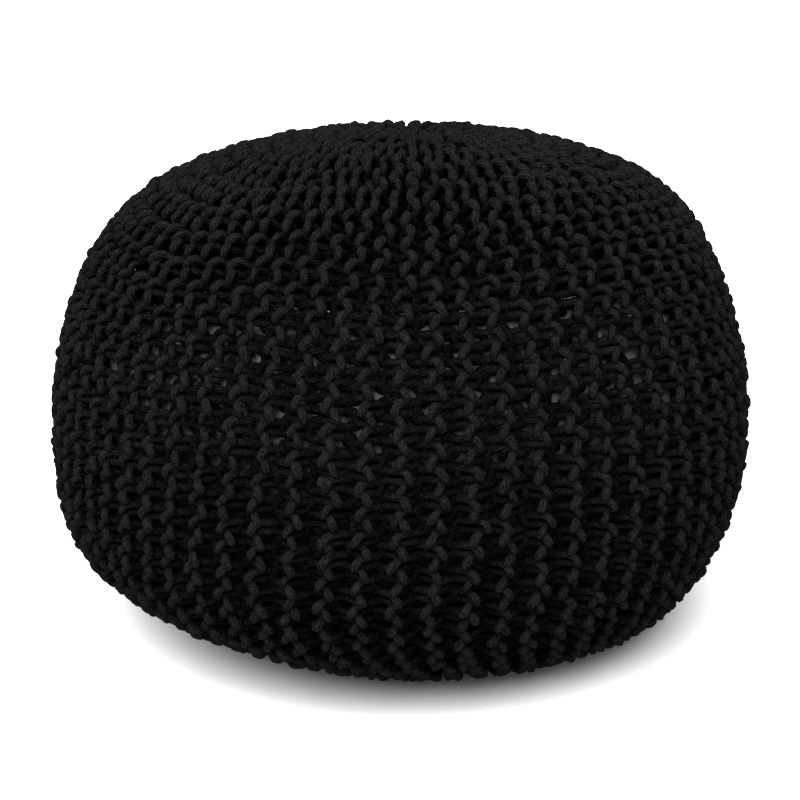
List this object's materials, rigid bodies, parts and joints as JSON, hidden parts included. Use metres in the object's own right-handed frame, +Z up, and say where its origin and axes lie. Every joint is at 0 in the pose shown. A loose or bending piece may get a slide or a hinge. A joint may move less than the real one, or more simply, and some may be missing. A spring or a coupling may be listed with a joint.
{
  "type": "knitted pouf",
  "caption": "Round filled floor pouf in a thick ribbed knit cover, gathered at the top and flat where it rests.",
  "frame": {"origin": "centre of the bounding box in plan, on the flat base that rests on the floor", "axes": "+Z up through the gathered top, -Y towards the viewer, +X to the viewer's right"},
  "size_m": [0.5002, 0.4968, 0.3557],
  "materials": {
    "cotton_cord": "matte thick cotton cord"
  },
  "bodies": {
    "root": {"knitted_pouf": "cotton_cord"}
  },
  "joints": []
}
